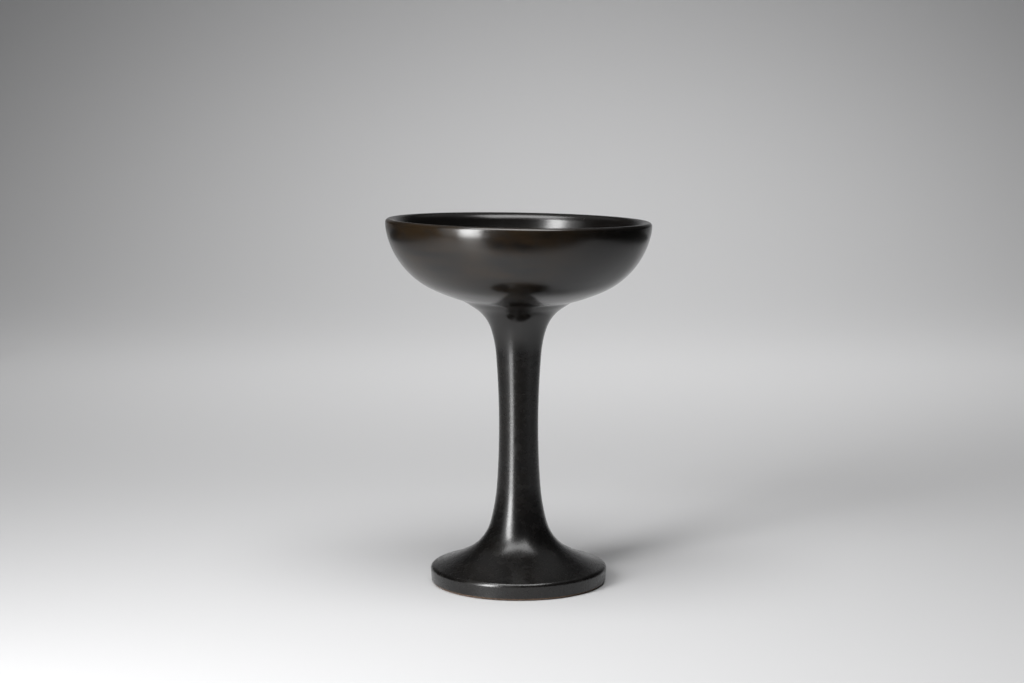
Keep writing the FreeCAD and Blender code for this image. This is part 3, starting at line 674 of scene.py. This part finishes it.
def clay_material(name, dark, light, roughness):
    """Bare fired stoneware: grog, iron specks and fine turning lines."""
    material, tree, shader = new_material(name)
    place = tree.add("ShaderNodeTexCoord").outputs["Object"]
    grog = tree.noise(place, GROG_GRAIN, 3.0, 0.6)
    toast = tree.noise(place, TOAST_GRAIN)
    tone = tree.spread(tree.mixed(grog, toast, GROG_SHARE), *TONE_RANGE)
    colour = tree.blend(tone, (*dark, 1.0), (*light, 1.0))
    specks = tree.spread(tree.noise(place, SPECK_GRAIN, 1.0), *SPECK_RANGE)
    black = tuple(channel * 0.25 for channel in dark)
    colour = tree.blend(tree.math("MULTIPLY", specks, 0.8), colour, (*black, 1.0))
    tree.tree.links.new(colour, shader.inputs["Base Color"])
    rough = tree.spread(grog, 0.3, 0.7, roughness - 0.06, roughness + 0.06)
    tree.tree.links.new(rough, shader.inputs["Roughness"])
    shader.inputs["Specular IOR Level"].default_value = 0.3

    # Turning lines follow the distance from the axis and the height
    flat = tree.vector("MULTIPLY", place, (1.0, 1.0, 0.0))
    radius = tree.vector("LENGTH", flat, out="Value")
    lines = tree.add("ShaderNodeTexNoise", {
        "W": tree.math("ADD", radius, tree.split(place)["Z"]), "Scale": LINE_GRAIN,
        "Detail": 2.0}, noise_dimensions="1D").outputs[0]
    bump = tree.add("ShaderNodeBump", {
        "Height": tree.mixed(grog, lines, 0.6), "Strength": CLAY_BUMP,
        "Distance": CLAY_BUMP_DEPTH})
    tree.tree.links.new(bump.outputs[0], shader.inputs["Normal"])
    return material


class CupForm(bpy.types.PropertyGroup):
    """Hand-made relief and fineness of the turned skins."""

    steps_round: IntProperty(
        name="Steps Round", description="Facets of a turned skin, once round", default=240,
        min=48, max=360)
    corner_round: FloatProperty(
        name="Corner Round", description="Rounding of the corner between coil and bowl",
        default=12.0 * MM, unit="LENGTH")
    outer_ring_depth: FloatProperty(
        name="Outer Ring Depth", description="Depth of the throwing rings outside",
        default=0.02 * MM, unit="LENGTH", precision=6)
    inner_ring_depth: FloatProperty(
        name="Inner Ring Depth", description="Depth of the throwing rings inside the bowl",
        default=0.09 * MM, unit="LENGTH", precision=6)
    well_ring_depth: FloatProperty(
        name="Well Ring Depth", description="Depth of the turning rings under the foot",
        default=0.12 * MM, unit="LENGTH", precision=6)
    ring_spacing: FloatProperty(
        name="Ring Spacing", description="Distance from one throwing ring to the next",
        default=2.4 * MM, unit="LENGTH", precision=5)
    waver_depth: FloatProperty(
        name="Waver Depth", description="Depth of the slow unevenness of a thrown wall",
        default=0.10 * MM, unit="LENGTH", precision=6)
    waver_size: FloatProperty(
        name="Waver Size", description="Width of the slow unevenness", default=36.0 * MM,
        unit="LENGTH")
    seed: FloatProperty(name="Seed", description="Picks the unevenness", default=3.0)


class CupFinish(bpy.types.PropertyGroup):
    """Colours and sheen of glaze and clay."""

    black: FloatVectorProperty(
        name="Black", description="Glaze where it lies thick", subtype="COLOR",
        default=(0.0022, 0.0020, 0.0019), min=0.0, max=1.0)
    brown: FloatVectorProperty(
        name="Brown", description="Glaze where it breaks", subtype="COLOR",
        default=(0.0125, 0.0077, 0.0036), min=0.0, max=1.0)
    thin: FloatVectorProperty(
        name="Thin", description="Glaze where its mottles lie thin", subtype="COLOR",
        default=(0.0066, 0.0060, 0.0054), min=0.0, max=1.0)
    stem_brown: FloatProperty(
        name="Brown on Stem", description="Share of the brown breaks below the bowl",
        default=0.12, min=0.0, max=1.0, subtype="FACTOR")
    brown_side_angle: FloatProperty(
        name="Brown Side Angle", description="From the front round to the left, the side with most brown",
        default=math.radians(55.0), unit="ROTATION")
    far_side_brown: FloatProperty(
        name="Brown on Far Side", description="Share of the brown breaks on the side away from it",
        default=0.12, min=0.0, max=1.0, subtype="FACTOR")
    roughness: FloatProperty(
        name="Roughness", description="Satin sheen of the bowl's glaze", default=0.19, min=0.0,
        max=1.0, subtype="FACTOR")
    stem_roughness: FloatProperty(
        name="Stem Roughness", description="Satin sheen of the glaze on stem and foot",
        default=0.26, min=0.0, max=1.0, subtype="FACTOR")
    pool_roughness: FloatProperty(
        name="Pool Roughness", description="Glossier sheen where glaze ran thick under the bowl",
        default=0.155, min=0.0, max=1.0, subtype="FACTOR")
    turning_lines: FloatProperty(
        name="Turning Lines", description="How far hair-fine turning lines draw highlights out",
        default=0.35, min=0.0, max=1.0, subtype="FACTOR")
    sheen_spread: FloatProperty(
        name="Sheen Spread", description="How much the sheen varies", default=0.08, min=0.0,
        max=0.5, subtype="FACTOR")
    glaze_ior: FloatProperty(
        name="Glaze IOR", description="How strongly the glaze mirrors", default=1.56, min=1.0,
        max=2.5)
    bump: FloatProperty(
        name="Glaze Bump", description="Strength of the fine ripples", default=0.12, min=0.0,
        max=1.0, subtype="FACTOR")
    clay_dark: FloatVectorProperty(
        name="Clay Dark", description="Darker tone of the bare clay", subtype="COLOR",
        default=(0.062, 0.041, 0.029), min=0.0, max=1.0)
    clay_light: FloatVectorProperty(
        name="Clay Light", description="Lighter tone of the bare clay", subtype="COLOR",
        default=(0.150, 0.100, 0.070), min=0.0, max=1.0)


class CupStudio(bpy.types.PropertyGroup):
    """Camera, lamps and stage."""

    lens: FloatProperty(
        name="Lens", description="Focal length on a sensor 36 mm wide", default=70.0,
        unit="CAMERA")
    camera_distance: FloatProperty(
        name="Camera Distance", description="From the cup's axis", default=0.92, unit="LENGTH")
    camera_height: FloatProperty(
        name="Camera Height", description="Above the standing surface", default=0.2253,
        unit="LENGTH")
    camera_pitch: FloatProperty(
        name="Camera Pitch", description="How far the camera looks down",
        default=math.radians(6.938), unit="ROTATION")
    camera_yaw: FloatProperty(
        name="Camera Yaw", description="How far the camera looks left of the axis",
        default=math.radians(0.193), unit="ROTATION")
    # Near and far paper colours differ as painted light, evening out how the lamps' light falls off
    floor_colour: FloatVectorProperty(
        name="Floor Colour", description="Pale sweep near the cup", subtype="COLOR",
        default=(0.56, 0.56, 0.565), min=0.0, max=1.0)
    far_colour: FloatVectorProperty(
        name="Far Colour", description="Pale sweep far behind the cup", subtype="COLOR",
        default=(0.80, 0.80, 0.805), min=0.0, max=1.0)
    ambient: FloatProperty(
        name="Ambient", description="Even light from all round", default=0.03, min=0.0)
    room: FloatProperty(
        name="Room", description="Grey of the room past the end of the paper", default=0.35,
        min=0.0, max=1.0)
    key_angle: FloatProperty(
        name="Key Angle", description="How far left of the camera the key lamp stands",
        default=math.radians(41.0), unit="ROTATION")
    key_power: FloatProperty(
        name="Key Power", description="Tall soft lamp at the left front", default=6.2,
        unit="POWER")
    spill_power: FloatProperty(
        name="Spill Power", description="Wide dim rim of the key lamp", default=1.0,
        unit="POWER")
    top_power: FloatProperty(
        name="Top Power", description="Soft lamp overhead", default=8.5, unit="POWER")
    ceiling_power: FloatProperty(
        name="Ceiling Power", description="Wide dim light from above and behind", default=2.5,
        unit="POWER")
    back_power: FloatProperty(
        name="Back Power", description="Soft lamp over the backdrop", default=6.9,
        unit="POWER")
    # Painted dark reflections: sheets that only the glaze mirrors, standing in for the dark room
    with_painted_shade_cards: BoolProperty(
        name="Dark Sheets", description="Dark sheets on the table, which only the glaze mirrors",
        default=True)


def cup_form():
    """The form's settings."""
    return bpy.context.scene.cup_form


def cup_finish():
    """The finish's settings."""
    return bpy.context.scene.cup_finish


class CUP_OT_outer_glaze(bpy.types.Operator):
    """Turns the coat of glaze outside, from the crest of the lip down to the standing ring"""

    bl_idname = "cup.outer_glaze"
    bl_label = "Glaze Outside"

    def execute(self, context):
        front = outer_outline(GLAZE, cup_form().corner_round, fine=True)
        back = outer_outline(CLEAR_OF_CLAY, cup_form().corner_round, fine=False)
        material = glaze_material("glaze_outside", cup_finish(), brown_share=1.0)
        piece = turned_piece("glaze_outside_skin", skin_points(front, back, True), cup_form(),
                             material, cup_form().outer_ring_depth)
        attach(piece, BODY)
        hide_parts("outer_glaze")
        return {"FINISHED"}


class CUP_OT_lining_glaze(bpy.types.Operator):
    """Turns the coat of glaze inside the bowl, from the crest of the lip down to the floor"""

    bl_idname = "cup.lining_glaze"
    bl_label = "Glaze Inside"

    def execute(self, context):
        front = inner_outline(GLAZE, fine=True)
        back = inner_outline(CLEAR_OF_CLAY, fine=False)
        rows = skin_points(front, back, False)
        split = len(front)
        ordered = list(reversed(rows[:split])) + list(reversed(rows[split:]))
        material = glaze_material("glaze_inside", cup_finish(), brown_share=0.9, duller=0.06,
                                  mottled=0.15)
        piece = turned_piece("glaze_inside_skin", ordered, cup_form(), material,
                             cup_form().inner_ring_depth)
        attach(piece, BODY)
        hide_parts("lining_glaze")
        return {"FINISHED"}


class CUP_OT_well_glaze(bpy.types.Operator):
    """Turns the coat of glaze in the hollow under the foot"""

    bl_idname = "cup.well_glaze"
    bl_label = "Glaze Under Foot"

    def execute(self, context):
        front = well_outline(GLAZE, fine=True)
        back = well_outline(CLEAR_OF_CLAY, fine=False)
        material = glaze_material("glaze_under_foot", cup_finish(), brown_share=0.8)
        piece = turned_piece("glaze_under_foot_skin", skin_points(front, back, True), cup_form(),
                             material, cup_form().well_ring_depth, steps=WELL_STEPS_ROUND)
        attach(piece, BODY)
        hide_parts("foot_well_glaze")
        return {"FINISHED"}


class CUP_OT_bare_clay(bpy.types.Operator):
    """Gives the thrown clay and the slip in the joints their finish"""

    bl_idname = "cup.bare_clay"
    bl_label = "Bare Clay"

    def execute(self, context):
        dark, light = cup_finish().clay_dark, cup_finish().clay_light
        clay = clay_material("bare_clay", dark, light, CLAY_ROUGHNESS)
        slip = clay_material("joint_slip", light, light, SLIP_ROUGHNESS)
        for name, node in frame["nodes"].items():
            if name.endswith("_slip"):
                dress(node, slip)
            elif not name.endswith("_glaze"):
                dress(node, clay)
        return {"FINISHED"}


def dress(node, material):
    """Puts one material in every slot of a CAD node."""
    for slot in node.material_slots:
        slot.material = material


def studio_sweep(studio):
    """Pale table that curves up into a backdrop well behind the cup."""
    half_width = 1.3
    front = -1.7
    bend = 0.9
    bend_length = 1.3
    upright = 0.4
    steps = 32
    # The bend tightens evenly from flat to upright, so no line shows where it starts
    section = [(front, 0.0), (bend, 0.0)]
    for step in range(1, steps + 1):
        slope = QUARTER * ((step - 0.5) / steps) ** 2
        y, z = section[-1]
        section.append((y + bend_length / steps * math.cos(slope),
                        z + bend_length / steps * math.sin(slope)))
    section.append((section[-1][0], section[-1][1] + upright))
    mesh = bpy.data.meshes.new("studio_sweep")
    corners = [(side * half_width, y, z) for y, z in section for side in (-1, 1)]
    faces = [(2 * i, 2 * i + 1, 2 * i + 3, 2 * i + 2) for i in range(len(section) - 1)]
    mesh.from_pydata(corners, [], faces)
    mesh.shade_smooth()
    sweep = bpy.data.objects.new("studio_sweep", mesh)
    bpy.context.scene.collection.objects.link(sweep)

    material, tree, shader = new_material("studio_paper")
    place = tree.add("ShaderNodeTexCoord").outputs["Object"]
    parts = tree.split(place)
    # Painted light: the paper is paler far behind the cup than near it, to even out how the lamps'
    # light falls off
    back = tree.spread(parts["Y"], 0.0, 0.8)
    colour = tree.blend(back, (*studio.floor_colour, 1.0), (*studio.far_colour, 1.0))
    # Painted shade: the paper is greyer towards its sides and up the backdrop, where the light falls
    # off
    painted_light_centre = 0.07
    side_reach = 1.10
    side_share = 0.45
    top_reach = 0.55
    top_share = 0.42
    aside = tree.math("ABSOLUTE", tree.math("SUBTRACT", parts["X"], painted_light_centre))
    painted_falloff = tree.math("MULTIPLY", tree.spread(aside, 0.0, side_reach, 1.0, side_share),
                     tree.spread(parts["Z"], 0.0, top_reach, 1.0, top_share))
    colour = tree.blend(painted_falloff, (0.08, 0.08, 0.085, 1.0), colour)
    tree.tree.links.new(colour, shader.inputs["Base Color"])
    shader.inputs["Roughness"].default_value = 0.6
    shader.inputs["Specular IOR Level"].default_value = 0.3
    mesh.materials.append(material)


def painted_shade_card(name, low, high):
    """Polished dark sheet out of the picture, which only the glaze mirrors: a painted dark
    reflection standing in for the dark room past the table.
    """
    mesh = bpy.data.meshes.new(name)
    corners = ((low[0], low[1]), (high[0], low[1]), (high[0], high[1]), (low[0], high[1]))
    mesh.from_pydata([(x, y, CARD_LIFT) for x, y in corners], [], [(0, 1, 2, 3)])
    card = bpy.data.objects.new(name, mesh)
    bpy.context.scene.collection.objects.link(card)
    card.visible_camera = card.visible_diffuse = card.visible_shadow = False
    material, tree, shader = new_material(name)
    place = tree.add("ShaderNodeTexCoord").outputs["Object"]
    cloudy = tree.noise(place, 40.0)
    colour = tree.blend(cloudy, (0.015, 0.015, 0.015, 1.0), (0.03, 0.03, 0.03, 1.0))
    # The painted dark reflection's edge near the cup fades to the paper's grey
    parts = tree.split(place)
    near = tree.spread(parts["Y"], CARD_EDGE - CARD_FADE, CARD_EDGE)
    inside = tree.math("LESS_THAN", tree.math("ABSOLUTE", parts["X"]), CARD_SIDE)
    colour = tree.blend(tree.math("MULTIPLY", near, inside), colour, (0.5, 0.5, 0.5, 1.0))
    tree.tree.links.new(colour, shader.inputs["Base Color"])
    shader.inputs["Roughness"].default_value = 0.3
    mesh.materials.append(material)


def soft_lamp(name, place, aim, size, power):
    """A rectangular soft lamp that the camera doesn't see."""
    data = bpy.data.lights.new(name, "AREA")
    data.shape = "RECTANGLE"
    data.size, data.size_y = size
    data.energy = power
    lamp = bpy.data.objects.new(name, data)
    bpy.context.scene.collection.objects.link(lamp)
    lamp.location = place
    lamp.rotation_euler = (Vector(aim) - Vector(place)).to_track_quat("-Z", "Y").to_euler()
    lamp.visible_camera = False
    return lamp


class CUP_OT_studio(bpy.types.Operator):
    """Sets up the pale sweep, the soft lamps and the camera"""

    bl_idname = "cup.studio"
    bl_label = "Studio"

    def execute(self, context):
        scene = context.scene
        studio = scene.cup_studio
        studio_sweep(studio)
        # Painted dark reflections: sheets that only the glaze mirrors, standing in for the dark room
        # past the table
        if studio.with_painted_shade_cards:
            painted_shade_card("shade_card_front", (-CARD_REACH, -CARD_REACH), (CARD_REACH, CARD_EDGE))
            painted_shade_card("shade_card_left", (-CARD_REACH, CARD_EDGE), (-CARD_SIDE, CARD_BACK))
            painted_shade_card("shade_card_right", (CARD_SIDE, CARD_EDGE), (CARD_REACH, CARD_BACK))

        world = bpy.data.worlds.new("studio_air")
        world.use_nodes = True
        world.node_tree.nodes.clear()
        tree = Tree(world.node_tree)
        # Past the end of the paper the camera sees a pale room, which lights nothing
        seen = tree.add("ShaderNodeLightPath").outputs["Is Camera Ray"]
        strength = tree.math("MULTIPLY_ADD", seen, studio.room - studio.ambient, studio.ambient)
        air = tree.add("ShaderNodeBackground", {
            "Color": (1.0, 1.0, 1.0, 1.0), "Strength": strength})
        tree.add("ShaderNodeOutputWorld", {"Surface": air.outputs[0]})
        scene.world = world

        # The key's face stands square to its direction, a little nearer the camera than that line
        turn = studio.key_angle
        out = Vector((-math.sin(turn), -math.cos(turn), 0.0))
        side = Vector((math.cos(turn), -math.sin(turn), 0.0))
        for name, reach, across, low, high, width, power in (
                ("key_lamp", 0.60, 0.01, 0.003, 0.62, 0.18, studio.key_power),
                ("key_spill", 0.61, -0.08, 0.02, 0.85, 0.44, studio.spill_power)):
            place = out * reach + side * across + Vector((0.0, 0.0, (low + high) / 2))
            soft_lamp(name, place, place - out, (width, high - low), power)
        soft_lamp("top_lamp", place=(-0.02, -0.25, 0.92), aim=(0.0, -0.05, 0.10),
                  size=(0.80, 0.54), power=studio.top_power)
        back = soft_lamp("back_lamp", place=(0.15, 0.50, 1.0), aim=(0.15, 1.5, 0.30),
                         size=(1.6, 0.4), power=studio.back_power)
        back.data.spread = math.radians(140.0)
        soft_lamp("ceiling_lamp", place=(0.0, 0.50, 1.50), aim=(0.0, 0.40, 0.0),
                  size=(2.4, 1.8), power=studio.ceiling_power)

        data = bpy.data.cameras.new("photo_camera")
        data.lens = studio.lens
        data.sensor_width = SENSOR_WIDTH
        data.clip_start = 0.05
        data.clip_end = 20.0
        camera = bpy.data.objects.new("photo_camera", data)
        scene.collection.objects.link(camera)
        camera.location = (0.0, -studio.camera_distance, studio.camera_height)
        camera.rotation_euler = (QUARTER - studio.camera_pitch, 0.0, studio.camera_yaw)
        scene.camera = camera
        scene.view_settings.view_transform = "Standard"
        return {"FINISHED"}


class CUP_PT_panel(bpy.types.Panel):
    """Lists the cup's pieces and settings"""

    bl_idname = "CUP_PT_panel"
    bl_label = "Stemmed Cup"
    bl_space_type = "VIEW_3D"
    bl_region_type = "UI"
    bl_category = "Cup"

    def draw(self, context):
        for operator in OPERATORS:
            self.layout.operator(operator.bl_idname)
        for settings in (context.scene.cup_form, context.scene.cup_finish,
                         context.scene.cup_studio):
            for name in settings.__annotations__:
                self.layout.prop(settings, name)


OPERATORS = (
    CUP_OT_outer_glaze,
    CUP_OT_lining_glaze,
    CUP_OT_well_glaze,
    CUP_OT_bare_clay,
    CUP_OT_studio,
)
CLASSES = (CupForm, CupFinish, CupStudio, *OPERATORS, CUP_PT_panel)


def register():
    """Adds the classes and the settings."""
    for cls in CLASSES:
        bpy.utils.register_class(cls)
    bpy.types.Scene.cup_form = PointerProperty(type=CupForm)
    bpy.types.Scene.cup_finish = PointerProperty(type=CupFinish)
    bpy.types.Scene.cup_studio = PointerProperty(type=CupStudio)


def unregister():
    """Takes the settings and the classes away."""
    del bpy.types.Scene.cup_studio
    del bpy.types.Scene.cup_finish
    del bpy.types.Scene.cup_form
    for cls in reversed(CLASSES):
        bpy.utils.unregister_class(cls)


def main():
    """Makes every piece and the studio."""
    register()
    for step in (bpy.ops.cup.outer_glaze, bpy.ops.cup.lining_glaze, bpy.ops.cup.well_glaze,
                 bpy.ops.cup.bare_clay, bpy.ops.cup.studio):
        step()


if __name__ == "__main__":
    main()
